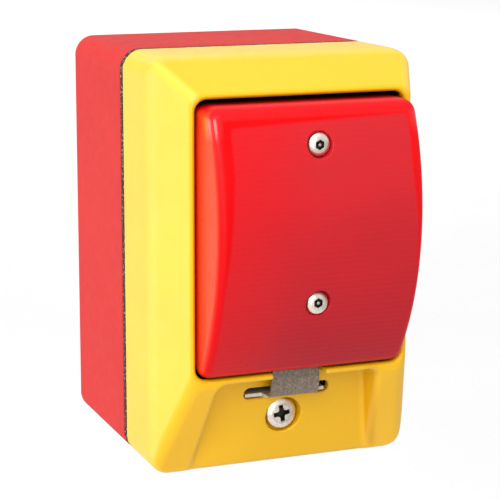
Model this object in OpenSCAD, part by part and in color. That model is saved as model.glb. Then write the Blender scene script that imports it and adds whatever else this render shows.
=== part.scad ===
// Manual call point: a deep back box, a hooked front cover with a window, and a
// spring-loaded push plate that works two contact blocks behind it.
// The back face lies on the wall. +Z is up and the front looks along -Y.

/* [Body] */
// Width of the back box and of the front cover
body_w = 80; // [78:1:90]
// Height of the back box and of the front cover
body_h = 121; // [121:1:130]
// Radius of the four long corners
corner_r = 6; // [5:0.5:8]
// Depth of the back box, from the wall to the gasket
box_d = 47; // [46:1:60]
// Wall thickness of the plastic shells
wall = 3; // [2.6:0.1:3.2]
// Thickness of the foam gasket between box and cover
gasket_t = 2.8; // [2.5:0.1:3.2]

/* [Front cover] */
// Depth of the cover's straight skirt
skirt_h = 22.2; // [21:0.1:24]
// Depth of the whole cover, from the gasket to the window rim
rim_h = 38.2; // [37:0.1:40]
// Distance from the cover's side to the window
window_side = 8.1; // [7.5:0.1:9]
// Distance from the cover's top to the window
window_drop = 10.6; // [10:0.1:12]
// Height of the panel below the window
foot_h = 31.6; // [31:0.1:33]
// How far the cover swings open on its top hooks, in degrees
cover_swing = 45; // [20:1:45]

/* [Push plate] */
// Gap between the push plate and the window
plate_gap = 1.1; // [0.8:0.1:1.5]
// Radius of the plate's curved front
plate_r = 77; // [70:1:90]
// Height of the plate's crest above the cover's back face
plate_crest = 53.3; // [52:0.1:54]
// Wall thickness of the push plate
plate_t = 2.5; // [2:0.1:3]
// How far the plate is pushed in
plate_travel = 7.5; // [5:0.1:7.5]
// Distance between the two plate screws
stem_pitch = 44.1; // [42:0.1:46]

/* [Hold-in tab] */
// Width of the tab's tongue
tab_w = 14.8; // [12:0.1:15.7]
// Thickness of the tab's sheet metal
tab_t = 1.2; // [1:0.1:1.2]
// How far the tab lifts
tab_lift = 2; // [1:0.1:2]

/* [Fixing] */
// Distance across between the wall screw holes
fix_x = 56; // [50:1:60]
// Distance up between the wall screw holes
fix_z = 96; // [90:1:100]
// Radius of the wall screw holes
fix_r = 2.25; // [2:0.05:2.75]
// Radius of the tapped M20 cable entry
entry_r = 9.2; // [8:0.1:9.2]

/* [Hidden] */
$fn = 96;

eps = 0.01;                    // thickness of a hull's end slab
through = 1;                   // how far a cut runs past a face

// Cover and window outline. Heights are measured from mid-height.
cover_d = box_d + gasket_t;    // the cover's back face, from the wall
half_w = body_w / 2;
half_h = body_h / 2;
window_w = body_w - 2 * window_side;
window_top = half_h - window_drop;
window_low = foot_h - half_h;
window_corner = 3.5;
rim_side = 7;                  // from the cover's side to the window rim
rim_top = window_top + 1.6;
rim_corner = 4;
lip_t = 1.9;                   // thickness of the lip below the window
rim_low = window_low - lip_t;
inner_step = 2.5;              // wall thickness behind the crease
inner_ledge = 0.5;             // from the window's edge to the hollow behind it
window_lip = 3.5;              // depth of the window's edge
hull_fn = 32;                  // segments of a circle inside a hull
gasket_inset = 0.2;
gasket_gap = 0.05;             // between the gasket and the cover

// Lower panel
recess_top_w = 49;
recess_foot_w = 62;
floor_foot = skirt_h - 0.6;    // the panel's floor at the bottom edge
floor_slope = 0.268;
pan_t = 2.6;
cheek_t = 2.5;
function floor_at(h) = floor_foot + (h + half_h) * floor_slope;

// Top hooks, which turn about the cover's upper back edge
pivot_h = half_h + 0.3;
pivot_c = 0.4;
hook_r = 8;
hook_t = 2;
hook_turn = cover_swing + 13;  // the hook still holds when the cover is open
hook_x = 22;
hook_w = 12;
hook_overlap = 0.4;            // of the hook with its root
hook_root = 8;                 // depth of the root
hook_reach = 20;               // size of the wedge that trims the hook
catch_w = 14;
catch_drop = 1.5;
catch_len = 2.8;

// Cover screw
screw_h = window_low - 16.4;
screw_seat = 21.8;
screw_bore = 2.75;
screw_r = 2.5;
screw_tip_r = 2.1;             // the thread's minor radius
screw_tip = -6.8;              // end of the screw
screw_step = 0.2;              // where the shank becomes the tip
head_r = 4.8;
head_side = 2.2;               // height of the head's straight side
head_dome = 0.8;
head_bevel = 1.2;
cross_len = 5;
cross_w = 1.1;
cross_floor = 1;               // from the seat to the bottom of the cross
counterbore_r = 5.5;
seat_boss_r = 7.5;
seat_t = 3;                    // thickness of the counterbore's floor
seat_collar = 2;
sleeve_r = 4.6;
retainer_r = 4.5;
retainer_t = 0.8;
insert_r = 3.5;
insert_len = 10;
boss_r = 6;
boss_front = box_d - 0.5;
boss_len = 15.5;
entry_depth = 16.5;
entry_boss_r = 12.5;
entry_boss_t = 3;

// Chassis, behind the window
chassis_c = 20;
chassis_t = 4;
chassis_w = body_w - 9.6;
chassis_top = half_h - 5.5;
chassis_low = window_low - 11.1;
chassis_corner = 3;
chassis_notch_w = 30;
chassis_notch_h = 6.5;
post_x = half_w - 7;
post_high = half_h - 7.5;
post_low = window_low - 7.1;
post_r = 3;
post_bore = 9;                 // pilot hole, from the chassis's back
tap_r = 1.25;
tap_gap = 0.3;                 // round a screw in a plain hole

// Small pan-head screws
pan_r = 2.8;
pan_h = 2;
pan_cross = 3;
pan_cross_w = 0.7;
pan_cross_h = 1.1;
post_screw = 8.5;
block_screw = 6.5;
keeper_screw = 11.5;

// Push plate and its stems
plate_w = window_w - 2 * plate_gap;
plate_top = window_top - 1.3;
plate_low = window_low + 0.4;
plate_corner = 3.5;
plate_back = 33.2;
plate_low_back = 35.2;
arc_h = window_low + 44.9;
stem_mid = window_low + 44.65;
stem_hs = [stem_mid + stem_pitch / 2, stem_mid - stem_pitch / 2];
stem_r = 4;
stem_back = 12;
collar_c = 43;
stem_front = 44.5;
stem_tap = 1.45;
stem_tap_gap = 0.4;
stem_tap_len = 10;
stem_screw_len = 7.5;
stem_boss_r = 5.5;             // the stem's front collar and the plate's boss
bush_r = 6;
bush_flange_r = 7.5;
bush_back = 16;
bush_front = 25.2;
running = 0.05;                // radial clearance of a stem in its bush
clip_r = 6;
clip_seat_r = 3.2;             // the groove for the clip
clip_back = 14.6;
clip_front = 15.6;
clip_play = 0.1;
spring_r = 5.1;
spring_wire = 0.5;
spring_turns = 6;
carrier_c = 41;
carrier_t = 2;
carrier_gap = 0.3;
carrier_corner = 2;
carrier_low = window_low + 13;
carrier_top = plate_top - plate_t - carrier_gap;
carrier_w = plate_w - 2 * plate_t - 2 * carrier_gap;
plate_head_r = 3.2;
plate_head_gap = 0.5;
plate_seat = 48.3;
plate_head_top = 50.4;
plate_head_side = 1;
plate_head_top_r = 2.1;
hex_r = 1.25;
hex_depth = 1.4;
pin_r = 0.4;
pin_drop = 0.3;                // the pin stands lower than the head

// Contact blocks
block_x = 14;
block_w = 13;
block_h = 44;
block_mid = window_low + 40.9;
block_back = -16;
cavity_w = 10;
cavity_h = 21;
cavity_back = -13;
strip_w = 3.2;
strip_t = 0.8;
strip_out = 20.6;
strip_in = 3.8;
terminal_at = 17.3;
terminal_w = 7.2;
terminal_h = 6.6;
wire_r = 1.7;
wire_gap = 0.3;
wire_drop = 3.3;               // from the strip back to the wire hole
clamp_h = 6.6;                 // depth of a terminal
mouth_len = 4;                 // of the wire hole in the block's end wall
clamp_tap_r = 1.5;
clamp_tap_back = 8;
clamp_end = 5.2;
clamp_head_r = 2.6;
clamp_head_back = 12.5;
clamp_head_front = 10.5;
clamp_slot_w = 0.8;
clamp_slot_floor = 11.6;
bridge_t = 1;
bridge_w = 3;
bridge_len = 12;
plunger_r = 2.4;
plunger_gap = 0.4;
plunger_front = carrier_c - 0.2;
plunger_pin_r = 1;
plunger_pin_len = 3;
block_spring_r = 1.9;
block_spring_wire = 0.25;
block_spring_turns = 9;
nc_bridge = -0.5;              // back face of each bridge
no_bridge = 7.5;
nc_strip = nc_bridge + bridge_t + 0.1;
no_strip = no_bridge - plate_travel - 0.2 - strip_t;
ear_h = 6;
ear_t = 3;

// Hold-in tab
tab_front = 34.4;
tab_top = window_low + 0.1;
notch_gap = 0.75;              // beside the tongue, in the lip's notch
notch_c = 31.7;                // floor of the lip's notch
flange_w = 25;
flange_low = window_low - 9.9;
stop_h = 5.8;                  // the flange's upturned end
slot_w = 26.6;
slot_low = window_low - 10.1;
slot_top = slot_low + tab_t + tab_lift + 0.4;
flange_back = 9.8;
flange_front = 26.4;
bend_c = 28.5;                 // where the sheet starts to rise to the strap
strap_low = flange_low + 1.9;
keeper_c = 12;
keeper_t = 3;
keeper_w = 42;
keeper_low = slot_low - 1.6;
keeper_top = window_low - 2.1;
keeper_x = 18.5;
keeper_foot_w = 5;
keeper_foot_step = 1;

/* ---- helpers ---- */

// Turns a drawing of the front (x across, y up, z out of the wall) upright.
module upright() { rotate([90, 0, 0]) children(); }

// The same, with depth measured from the cover's back face.
module on_cover() { upright() translate([0, 0, cover_d]) children(); }

// Extrudes an outline drawn as [height, depth] across the part.
module across(w) { rotate([90, 0, 90]) linear_extrude(w, center = true) children(); }

module rounded(w, h, r) {
    square([w - 2 * r, h], center = true);
    square([w, h - 2 * r], center = true);
    for (x = [-1, 1], y = [-1, 1])
        translate([x * (w / 2 - r), y * (h / 2 - r)]) circle(r);
}

// A box from a lowest corner to a highest corner.
module span(low, high) { translate(low) cube(high - low); }

module tube(r_out, r_in, from, to) {
    translate([0, 0, from]) difference() {
        cylinder(h = to - from, r = r_out);
        translate([0, 0, -through]) cylinder(h = to - from + 2 * through, r = r_in);
    }
}

module rod(r, from, to) { translate([0, 0, from]) cylinder(h = to - from, r = r); }

// A coil spring along +Z, swept as one closed tube.
module coil(r, wire, length, turns) {
    sides = 6;
    per_turn = 16;
    rings = turns * per_turn;
    points = [
        for (i = [0 : rings], s = [0 : sides - 1])
            let (a = 360 * i / per_turn, b = 360 * s / sides, q = r + wire * cos(b))
            [q * cos(a), q * sin(a), wire + (length - 2 * wire) * i / rings + wire * sin(b)]
    ];
    skin = [
        for (i = [0 : rings - 1], s = [0 : sides - 1])
            let (a = i * sides + s, b = i * sides + (s + 1) % sides)
            [a, a + sides, b + sides, b]
    ];
    caps = [
        [for (s = [0 : sides - 1]) s],
        [for (s = [sides - 1 : -1 : 0]) rings * sides + s]
    ];
    polyhedron(points, concat(skin, caps));
}

module at_stems() { for (h = stem_hs) translate([0, h, 0]) children(); }

module at_posts() {
    for (x = [-post_x, post_x], h = [post_low, post_high]) translate([x, h, 0]) children();
}

module at_wall_holes() {
    for (x = [-1, 1], h = [-1, 1]) translate([x * fix_x / 2, h * fix_z / 2, 0]) children();
}

/* ---- back box ---- */

module back_box() color("crimson") upright() difference() {
    union() {
        difference() {
            linear_extrude(box_d) rounded(body_w, body_h, corner_r);
            translate([0, 0, wall]) linear_extrude(box_d)
                rounded(body_w - 2 * wall, body_h - 2 * wall, corner_r - wall);
        }
        // boss for the cover screw's insert, carried by the bottom wall
        translate([0, screw_h, 0]) rod(boss_r, boss_front - boss_len, boss_front);
        span([-boss_r, -half_h + wall / 2, boss_front - boss_len], [boss_r, screw_h, boss_front]);
        // thickening round the cable entry
        translate([0, -half_h + wall / 2, entry_depth]) rotate([-90, 0, 0])
            cylinder(h = wall / 2 + entry_boss_t, r = entry_boss_r);
        // catches for the cover's hooks
        for (x = [-hook_x, hook_x])
            span([x - catch_w / 2, half_h - wall - catch_drop, box_d - catch_len],
                 [x + catch_w / 2, half_h - wall / 2, box_d]);
    }
    at_wall_holes() rod(fix_r, -through, wall + through);
    translate([0, -half_h - through, entry_depth]) rotate([-90, 0, 0])
        cylinder(h = wall + entry_boss_t + 2 * through, r = entry_r);
    translate([0, screw_h, 0]) rod(insert_r, boss_front - insert_len, boss_front + through);
}

module cover_gasket() color("dimgray") upright() translate([0, 0, box_d]) difference() {
    linear_extrude(gasket_t - gasket_gap)
        rounded(body_w - 2 * gasket_inset, body_h - 2 * gasket_inset, corner_r - gasket_inset);
    translate([0, 0, -through]) linear_extrude(gasket_t + 2 * through)
        rounded(body_w - 2 * wall, body_h - 2 * wall, corner_r - wall);
}

module screw_insert() color("goldenrod") upright() translate([0, screw_h, 0])
    tube(insert_r, screw_r, boss_front - insert_len, boss_front);

/* ---- front cover ---- */

module cover_outline() { rounded(body_w, body_h, corner_r); }

module rim_outline(grow) {
    low = rim_low - grow;
    top = rim_top + grow;
    translate([0, (low + top) / 2])
        rounded(body_w - 2 * rim_side + 2 * grow, top - low, rim_corner);
}

module window_outline(grow) {
    low = window_low - grow;
    top = window_top + grow;
    translate([0, (low + top) / 2]) rounded(window_w + 2 * grow, top - low, window_corner);
}

module cover_outer() {
    linear_extrude(skirt_h) cover_outline();
    hull() {
        translate([0, 0, skirt_h - eps]) linear_extrude(eps) cover_outline($fn = hull_fn);
        translate([0, 0, rim_h - eps]) linear_extrude(eps) rim_outline(0, $fn = hull_fn);
    }
}

module cover_inner() {
    crease = skirt_h - inner_step;
    w = body_w - 2 * wall;
    h = body_h - 2 * wall;
    translate([0, 0, -through]) linear_extrude(crease + through) rounded(w, h, corner_r - wall);
    hull() {
        translate([0, 0, crease - eps]) linear_extrude(eps)
            rounded(w, h, corner_r - wall, $fn = hull_fn);
        translate([0, 0, rim_h - window_lip]) linear_extrude(eps)
            window_outline(inner_ledge, $fn = hull_fn);
    }
}

// The lower panel's outline, as seen from the front.
module recess_outline(grow) {
    spread = (recess_foot_w - recess_top_w) / 2 / (rim_low + half_h) * through;
    polygon([
        [-recess_top_w / 2 - grow, rim_low + grow],
        [recess_top_w / 2 + grow, rim_low + grow],
        [recess_foot_w / 2 + spread + grow, -half_h - through],
        [-recess_foot_w / 2 - spread - grow, -half_h - through]
    ]);
}

// Everything in front of the panel's floor, lowered by drop.
module above_floor(drop) {
    foot = -half_h - through;
    across(body_w) polygon([
        [foot, floor_at(foot) - drop],
        [window_low, floor_at(window_low) - drop],
        [window_low, rim_h + through],
        [foot, rim_h + through]
    ]);
}

module top_hook() {
    translate([0, pivot_h, pivot_c]) across(hook_w) intersection() {
        difference() {
            circle(hook_r + hook_t);
            circle(hook_r);
        }
        polygon([
            [hook_overlap, 0], [-hook_reach, 0],
            [-hook_reach * cos(hook_turn), -hook_reach * sin(hook_turn)],
            [hook_overlap, -hook_overlap]
        ]);
    }
    // root of the hook, below the cover's top wall
    span([-hook_w / 2, pivot_h - hook_r - hook_t, pivot_c],
         [hook_w / 2, half_h - wall / 2, hook_root]);
}

module front_cover() color("gold") on_cover() difference() {
    union() {
        difference() {
            cover_outer();
            cover_inner();
        }
        intersection() {
            cover_outer();
            union() {
                intersection() {
                    linear_extrude(rim_h) recess_outline(cheek_t);
                    above_floor(pan_t);
                }
                at_posts() rod(post_r, chassis_c + chassis_t, rim_h);
            }
        }
        translate([0, screw_h, 0]) {
            rod(seat_boss_r, screw_seat - seat_t, screw_seat + seat_collar);
            rod(sleeve_r, 0, screw_seat);
        }
        for (x = [-hook_x, hook_x]) translate([x, 0, 0]) top_hook();
    }
    translate([0, 0, chassis_c]) linear_extrude(rim_h) window_outline(0);
    intersection() {
        linear_extrude(rim_h + through) recess_outline(0);
        above_floor(0);
    }
    span([-slot_w / 2, slot_low, screw_seat - seat_t - through],
         [slot_w / 2, slot_top, tab_front]);
    span([-tab_w / 2 - notch_gap, rim_low - through, notch_c],
         [tab_w / 2 + notch_gap, window_low + through, rim_h + through]);
    translate([0, screw_h, 0]) {
        rod(screw_bore, -through, rim_h);
        rod(counterbore_r, screw_seat, rim_h);
    }
    at_posts() rod(tap_r, chassis_c, chassis_c + post_bore);
}

module chassis() color("black") on_cover() difference() {
    translate([0, (chassis_top + chassis_low) / 2, chassis_c])
        linear_extrude(chassis_t)
            rounded(chassis_w, chassis_top - chassis_low, chassis_corner);
    span([-chassis_notch_w / 2, chassis_low - through, chassis_c - through],
         [chassis_notch_w / 2, chassis_low + chassis_notch_h, chassis_c + chassis_t + through]);
    at_stems() rod(bush_r, chassis_c - through, rim_h);
    at_posts() rod(tap_r + tap_gap, chassis_c - through, rim_h);
    for (x = [-block_x, block_x]) translate([x, block_mid, 0]) {
        rod(plunger_r + plunger_gap, chassis_c - through, rim_h);
        for (s = [-1, 1]) translate([0, s * (block_h + ear_h) / 2, 0])
            rod(tap_r, chassis_c - through, rim_h);
    }
    for (x = [-keeper_x, keeper_x]) translate([x, post_low, 0])
        rod(tap_r, chassis_c - through, rim_h);
}

module guide_bushes() color("ivory") on_cover() at_stems() {
    tube(bush_r, stem_r + running, bush_back, chassis_c + chassis_t);
    tube(bush_flange_r, stem_r + running, chassis_c + chassis_t, bush_front);
}

// A pan-head screw that points out of the wall, with its head seated at seat.
module back_screw(seat, length) {
    difference() {
        rod(pan_r, seat - pan_h, seat);
        translate([0, 0, seat - pan_h - through]) linear_extrude(through + pan_cross_h) {
            square([pan_cross, pan_cross_w], center = true);
            square([pan_cross_w, pan_cross], center = true);
        }
    }
    rod(tap_r, seat - eps, seat + length);
}

module chassis_screws() color("silver") on_cover() at_posts() back_screw(chassis_c, post_screw);

module cover_screw() color("silver") on_cover() translate([0, screw_h, 0]) difference() {
    union() {
        rod(head_r, screw_seat, screw_seat + head_side);
        translate([0, 0, screw_seat + head_side])
            cylinder(h = head_dome, r1 = head_r, r2 = head_r - head_bevel);
        rod(screw_r, screw_step, screw_seat + eps);
        rod(screw_tip_r, screw_tip, screw_step + eps);
    }
    translate([0, 0, screw_seat + cross_floor]) linear_extrude(rim_h) {
        square([cross_len, cross_w], center = true);
        square([cross_w, cross_len], center = true);
    }
}

module screw_retainer() color("silver") on_cover() translate([0, screw_h, 0])
    tube(retainer_r, screw_tip_r, -screw_step - retainer_t, -screw_step);

/* ---- contact blocks ---- */

// Draws its children once for each end of a block.
module both_ends() { for (s = [0, 1]) mirror([0, s, 0]) children(); }

module block_body(strip) difference() {
    union() {
        span([-block_w / 2, -block_h / 2, block_back], [block_w / 2, block_h / 2, chassis_c]);
        span([-block_w / 2, -block_h / 2 - ear_h, chassis_c - ear_t],
             [block_w / 2, block_h / 2 + ear_h, chassis_c]);
    }
    span([-cavity_w / 2, -cavity_h / 2, cavity_back],
         [cavity_w / 2, cavity_h / 2, chassis_c + through]);
    both_ends() {
        span([-strip_w / 2, 0, strip], [strip_w / 2, strip_out, strip + strip_t]);
        translate([0, terminal_at, 0])
            span([-terminal_w / 2, -terminal_h / 2, block_back - through],
                 [terminal_w / 2, terminal_h / 2, strip]);
        translate([0, block_h / 2 - mouth_len + through, strip - wire_drop]) rotate([-90, 0, 0])
            cylinder(h = mouth_len, r = wire_r + wire_gap);
        translate([0, (block_h + ear_h) / 2, 0]) rod(tap_r + tap_gap, 0, chassis_c + through);
    }
}

module strip_pair(strip) both_ends()
    span([-strip_w / 2, strip_in, strip], [strip_w / 2, strip_out, strip + strip_t]);

module terminal_pair(strip) both_ends() translate([0, terminal_at, 0]) difference() {
    span([-terminal_w / 2, -terminal_h / 2, strip - clamp_h],
         [terminal_w / 2, terminal_h / 2, strip]);
    translate([0, 0, strip - wire_drop]) rotate([90, 0, 0])
        cylinder(h = 2 * terminal_h, r = wire_r, center = true);
    rod(clamp_tap_r, strip - clamp_tap_back, strip - wire_drop);
}

module terminal_screw_pair(strip) both_ends() translate([0, terminal_at, 0]) difference() {
    union() {
        rod(clamp_head_r, strip - clamp_head_back, strip - clamp_head_front);
        rod(clamp_tap_r, strip - clamp_head_front - eps, strip - clamp_end);
    }
    span([-clamp_head_r - through, -clamp_slot_w / 2, strip - clamp_head_back - through],
         [clamp_head_r + through, clamp_slot_w / 2, strip - clamp_slot_floor]);
}

module plunger(bridge) {
    rod(plunger_r, bridge + bridge_t, plunger_front);
    rod(plunger_pin_r, bridge - plunger_pin_len, bridge + bridge_t + eps);
}

module bridge_bar(bridge) difference() {
    span([-bridge_w / 2, -bridge_len / 2, bridge],
         [bridge_w / 2, bridge_len / 2, bridge + bridge_t]);
    rod(plunger_pin_r, bridge - through, bridge + bridge_t + through);
}

module block_spring(bridge) translate([0, 0, cavity_back])
    coil(block_spring_r, block_spring_wire, bridge - cavity_back, block_spring_turns);

module at_block(side) { on_cover() translate([side * block_x, block_mid, 0]) children(); }

module contact_block_nc() color("firebrick") at_block(-1) block_body(nc_strip);
module contact_block_no() color("seagreen") at_block(1) block_body(no_strip);
module fixed_contacts_nc() color("peru") at_block(-1) strip_pair(nc_strip);
module fixed_contacts_no() color("peru") at_block(1) strip_pair(no_strip);
module terminals_nc() color("goldenrod") at_block(-1) terminal_pair(nc_strip);
module terminals_no() color("goldenrod") at_block(1) terminal_pair(no_strip);
module plunger_nc() color("white") at_block(-1) plunger(nc_bridge);
module plunger_no() color("white") at_block(1) plunger(no_bridge);
module bridge_nc() color("peru") at_block(-1) bridge_bar(nc_bridge);
module bridge_no() color("peru") at_block(1) bridge_bar(no_bridge);
module spring_nc() color("gray") at_block(-1) block_spring(nc_bridge);
module spring_no() color("gray") at_block(1) block_spring(no_bridge);

module terminal_screws() color("silver") {
    at_block(-1) terminal_screw_pair(nc_strip);
    at_block(1) terminal_screw_pair(no_strip);
}

module block_screws() color("silver") for (side = [-1, 1]) at_block(side) both_ends()
    translate([0, (block_h + ear_h) / 2, 0]) back_screw(chassis_c - ear_t, block_screw);

/* ---- push plate ---- */

module plate_outline(inset) {
    low = plate_low + inset;
    top = plate_top - inset;
    translate([0, (low + top) / 2])
        rounded(plate_w - 2 * inset, top - low, plate_corner - inset / 2);
}

// A block with the plate's outline and its curved front.
module plate_block(inset, from) intersection() {
    translate([0, 0, from]) linear_extrude(plate_crest) plate_outline(inset);
    translate([0, arc_h, plate_crest - plate_r]) rotate([0, 90, 0])
        cylinder(h = body_w, r = plate_r - inset, center = true, $fn = 360);
}

module push_plate() color("red") on_cover() difference() {
    union() {
        difference() {
            plate_block(0, plate_back);
            plate_block(plate_t, plate_back - through);
        }
        intersection() {
            plate_block(0, plate_back);
            at_stems() rod(stem_boss_r, stem_front, plate_crest);
        }
    }
    // the lower wall stays clear of the raised tab
    span([-half_w, plate_low - through, plate_back - through],
         [half_w, plate_low + plate_t + 1, plate_low_back]);
    at_stems() {
        rod(plate_head_r + plate_head_gap, plate_seat, plate_crest);
        rod(stem_tap + stem_tap_gap, plate_back, plate_crest);
    }
}

module plate_carrier() color("whitesmoke") on_cover() difference() {
    translate([0, (carrier_low + carrier_top) / 2, carrier_c]) linear_extrude(carrier_t)
        rounded(carrier_w, carrier_top - carrier_low, carrier_corner);
    at_stems() rod(stem_r, carrier_c - through, collar_c + through);
}

module plate_screws() color("silver") on_cover() at_stems() {
    difference() {
        union() {
            rod(plate_head_r, plate_seat, plate_seat + plate_head_side);
            translate([0, 0, plate_seat + plate_head_side])
                cylinder(h = plate_head_top - plate_seat - plate_head_side,
                         r1 = plate_head_r, r2 = plate_head_top_r);
        }
        translate([0, 0, plate_head_top - hex_depth])
            cylinder(h = through + hex_depth, r = hex_r, $fn = 6);
    }
    rod(pin_r, plate_seat, plate_head_top - pin_drop);
    rod(stem_tap, stem_front - stem_screw_len, plate_seat + eps);
}

module guide_stems() color("silver") on_cover() at_stems() difference() {
    union() {
        rod(stem_r, stem_back, collar_c);
        rod(stem_boss_r, collar_c, stem_front);
    }
    rod(stem_tap, stem_front - stem_tap_len, stem_front + through);
    tube(stem_r + through, clip_seat_r, clip_back, clip_front);
}

module stem_clips() color("gray") on_cover() at_stems()
    tube(clip_r, clip_seat_r, clip_back + clip_play, clip_front - clip_play);

module return_springs() color("gray") on_cover() at_stems() translate([0, 0, bush_front])
    coil(spring_r, spring_wire, carrier_c - bush_front, spring_turns);

/* ---- hold-in tab ---- */

module hold_tab() color("rosybrown") on_cover() {
    back = tab_front - tab_t;
    across(tab_w) polygon([
        [flange_low, flange_back], [flange_low + tab_t, flange_back],
        [flange_low + tab_t, bend_c], [strap_low + tab_t, back], [tab_top, back],
        [tab_top, tab_front], [strap_low, tab_front], [flange_low, bend_c]
    ]);
    span([-flange_w / 2, flange_low, flange_back],
         [flange_w / 2, flange_low + tab_t, flange_front]);
    span([-flange_w / 2, flange_low, flange_back],
         [flange_w / 2, flange_low + stop_h, flange_back + tab_t]);
}

module tab_keeper() color("slategray") on_cover() difference() {
    union() {
        span([-keeper_w / 2, keeper_low, keeper_c], [keeper_w / 2, keeper_top, keeper_c + keeper_t]);
        for (x = [-keeper_x, keeper_x])
            span([x - keeper_foot_w / 2, keeper_low + keeper_foot_step, keeper_c],
                 [x + keeper_foot_w / 2, keeper_top, chassis_c]);
    }
    span([-slot_w / 2, slot_low, keeper_c - through],
         [slot_w / 2, slot_top, keeper_c + keeper_t + through]);
    for (x = [-keeper_x, keeper_x]) translate([x, post_low, 0])
        rod(tap_r + tap_gap, keeper_c - through, chassis_c + through);
}

module keeper_screws() color("silver") on_cover()
    for (x = [-keeper_x, keeper_x]) translate([x, post_low, 0]) back_screw(keeper_c, keeper_screw);

back_box();
cover_gasket();
screw_insert();
front_cover();
chassis();
guide_bushes();
chassis_screws();
cover_screw();
screw_retainer();
tab_keeper();
keeper_screws();
contact_block_nc();
contact_block_no();
block_screws();
fixed_contacts_nc();
fixed_contacts_no();
terminals_nc();
terminals_no();
terminal_screws();
push_plate();
plate_carrier();
plate_screws();
guide_stems();
stem_clips();
return_springs();
plunger_nc();
bridge_nc();
spring_nc();
plunger_no();
bridge_no();
spring_no();
hold_tab();
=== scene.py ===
import math

import bpy
import numpy as np
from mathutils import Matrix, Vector


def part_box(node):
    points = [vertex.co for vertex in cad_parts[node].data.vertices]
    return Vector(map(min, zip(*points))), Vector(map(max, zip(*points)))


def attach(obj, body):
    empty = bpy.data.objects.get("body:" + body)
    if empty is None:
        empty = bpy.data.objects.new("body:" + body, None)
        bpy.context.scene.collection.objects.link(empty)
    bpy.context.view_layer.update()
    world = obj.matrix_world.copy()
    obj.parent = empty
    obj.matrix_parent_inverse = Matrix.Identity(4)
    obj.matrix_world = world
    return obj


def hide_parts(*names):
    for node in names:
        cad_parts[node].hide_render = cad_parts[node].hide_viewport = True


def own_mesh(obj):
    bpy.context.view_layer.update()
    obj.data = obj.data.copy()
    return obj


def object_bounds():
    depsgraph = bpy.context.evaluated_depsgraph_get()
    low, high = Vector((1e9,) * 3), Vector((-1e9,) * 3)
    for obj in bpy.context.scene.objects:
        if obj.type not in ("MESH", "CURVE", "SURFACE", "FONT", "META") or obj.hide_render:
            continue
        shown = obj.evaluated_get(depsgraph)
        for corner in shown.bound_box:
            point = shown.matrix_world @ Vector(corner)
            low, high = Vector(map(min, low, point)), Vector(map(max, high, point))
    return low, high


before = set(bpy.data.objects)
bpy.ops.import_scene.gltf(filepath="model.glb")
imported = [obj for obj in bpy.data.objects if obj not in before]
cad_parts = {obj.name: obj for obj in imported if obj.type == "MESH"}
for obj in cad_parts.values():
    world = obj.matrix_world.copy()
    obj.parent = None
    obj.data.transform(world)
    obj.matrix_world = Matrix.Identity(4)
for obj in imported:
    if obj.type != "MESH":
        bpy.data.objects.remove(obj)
cad_low, cad_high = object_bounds()

MM = 0.001


# ---- sizes, read from the frame -------------------------------------------------------------
# Shapes are drawn in millimetres as (x, h, d): x across, h up and d out of the wall.

def box_mm(node):
    """Lowest and highest (x, h, d) of a CAD node, in millimetres."""
    low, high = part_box(node)
    return (
        np.array([low.x, low.z, -high.y]) / MM,
        np.array([high.x, high.z, -low.y]) / MM,
    )


BOX_HIGH = box_mm("back_box")[1]
COVER_HIGH = box_mm("front_cover")[1]
PLATE_LOW, PLATE_HIGH = box_mm("push_plate")
TAB_LOW, TAB_HIGH = box_mm("hold_tab")
SCREW_LOW, SCREW_HIGH = box_mm("cover_screw")
HEADS_LOW, HEADS_HIGH = box_mm("plate_screws")
GASKET_LOW, GASKET_HIGH = box_mm("cover_gasket")
CHASSIS_HIGH = box_mm("chassis")[1]
INSERT_LOW, INSERT_HIGH = box_mm("screw_insert")

HALF_W, HALF_H = BOX_HIGH[0], BOX_HIGH[1]
BOX_D = BOX_HIGH[2]
COVER_D = BOX_D + 2.8          # back face of the cover
RIM_D = COVER_HIGH[2]          # rim of the window
WALL = 3.0
CORNER = 6.0

# Window and rim of the cover
SIDE_GAP, TOP_GAP, FOOT_GAP = 0.8, 1.3, 0.4
WINDOW_CORNER = 3.5
WINDOW_W = PLATE_HIGH[0] + SIDE_GAP
WINDOW_TOP = PLATE_HIGH[1] + TOP_GAP
WINDOW_LOW = PLATE_LOW[1] - FOOT_GAP
RIM_SIDE = HALF_W - 7.0
RIM_TOP = WINDOW_TOP + 1.6
RIM_LOW = WINDOW_LOW - 1.9
CREASE_D = COVER_D + 22.2      # where the skirt meets the facets

# Lower panel: half widths, then the depth and slope of its floor
RECESS_TOP, RECESS_FOOT = 24.5, 31.0
RECESS_DRAFT = 0.2
FLOOR_FOOT, FLOOR_SLOPE = CREASE_D - 0.6, 0.268
SCREW_H = (SCREW_LOW[1] + SCREW_HIGH[1]) / 2
SCREW_SEAT = SCREW_HIGH[2] - 3.0
SLOT_W = 13.3
SLOT_LOW, SLOT_TOP = TAB_LOW[1] - 0.2, TAB_LOW[1] + 3.4
NOTCH_W, NOTCH_DEPTH = TAB_HIGH[0] - 4.35, 2.7

# Push plate
PLATE_R = 77.0                 # radius of the curved front
CREST_D = PLATE_HIGH[2]
CREST_H = WINDOW_LOW + 44.9
PLATE_T, PLATE_CORNER = 2.5, 3.5
HEAD_R = 3.2
STEM_H = (HEADS_LOW[1] + HEAD_R, HEADS_HIGH[1] - HEAD_R)
HEAD_SEAT = HEADS_HIGH[2] - 2.1


# ---- solids as distance fields --------------------------------------------------------------
# A field is negative inside its solid. The number r at the end of a call rounds an edge.

def both(a, b, r=0.0):
    """Where a and b meet, with the outer edge rounded to radius r."""
    if r == 0:
        return np.maximum(a, b)
    corner = np.sqrt(np.maximum(a + r, 0) ** 2 + np.maximum(b + r, 0) ** 2)
    return np.minimum(-r, np.maximum(a, b)) + corner


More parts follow.
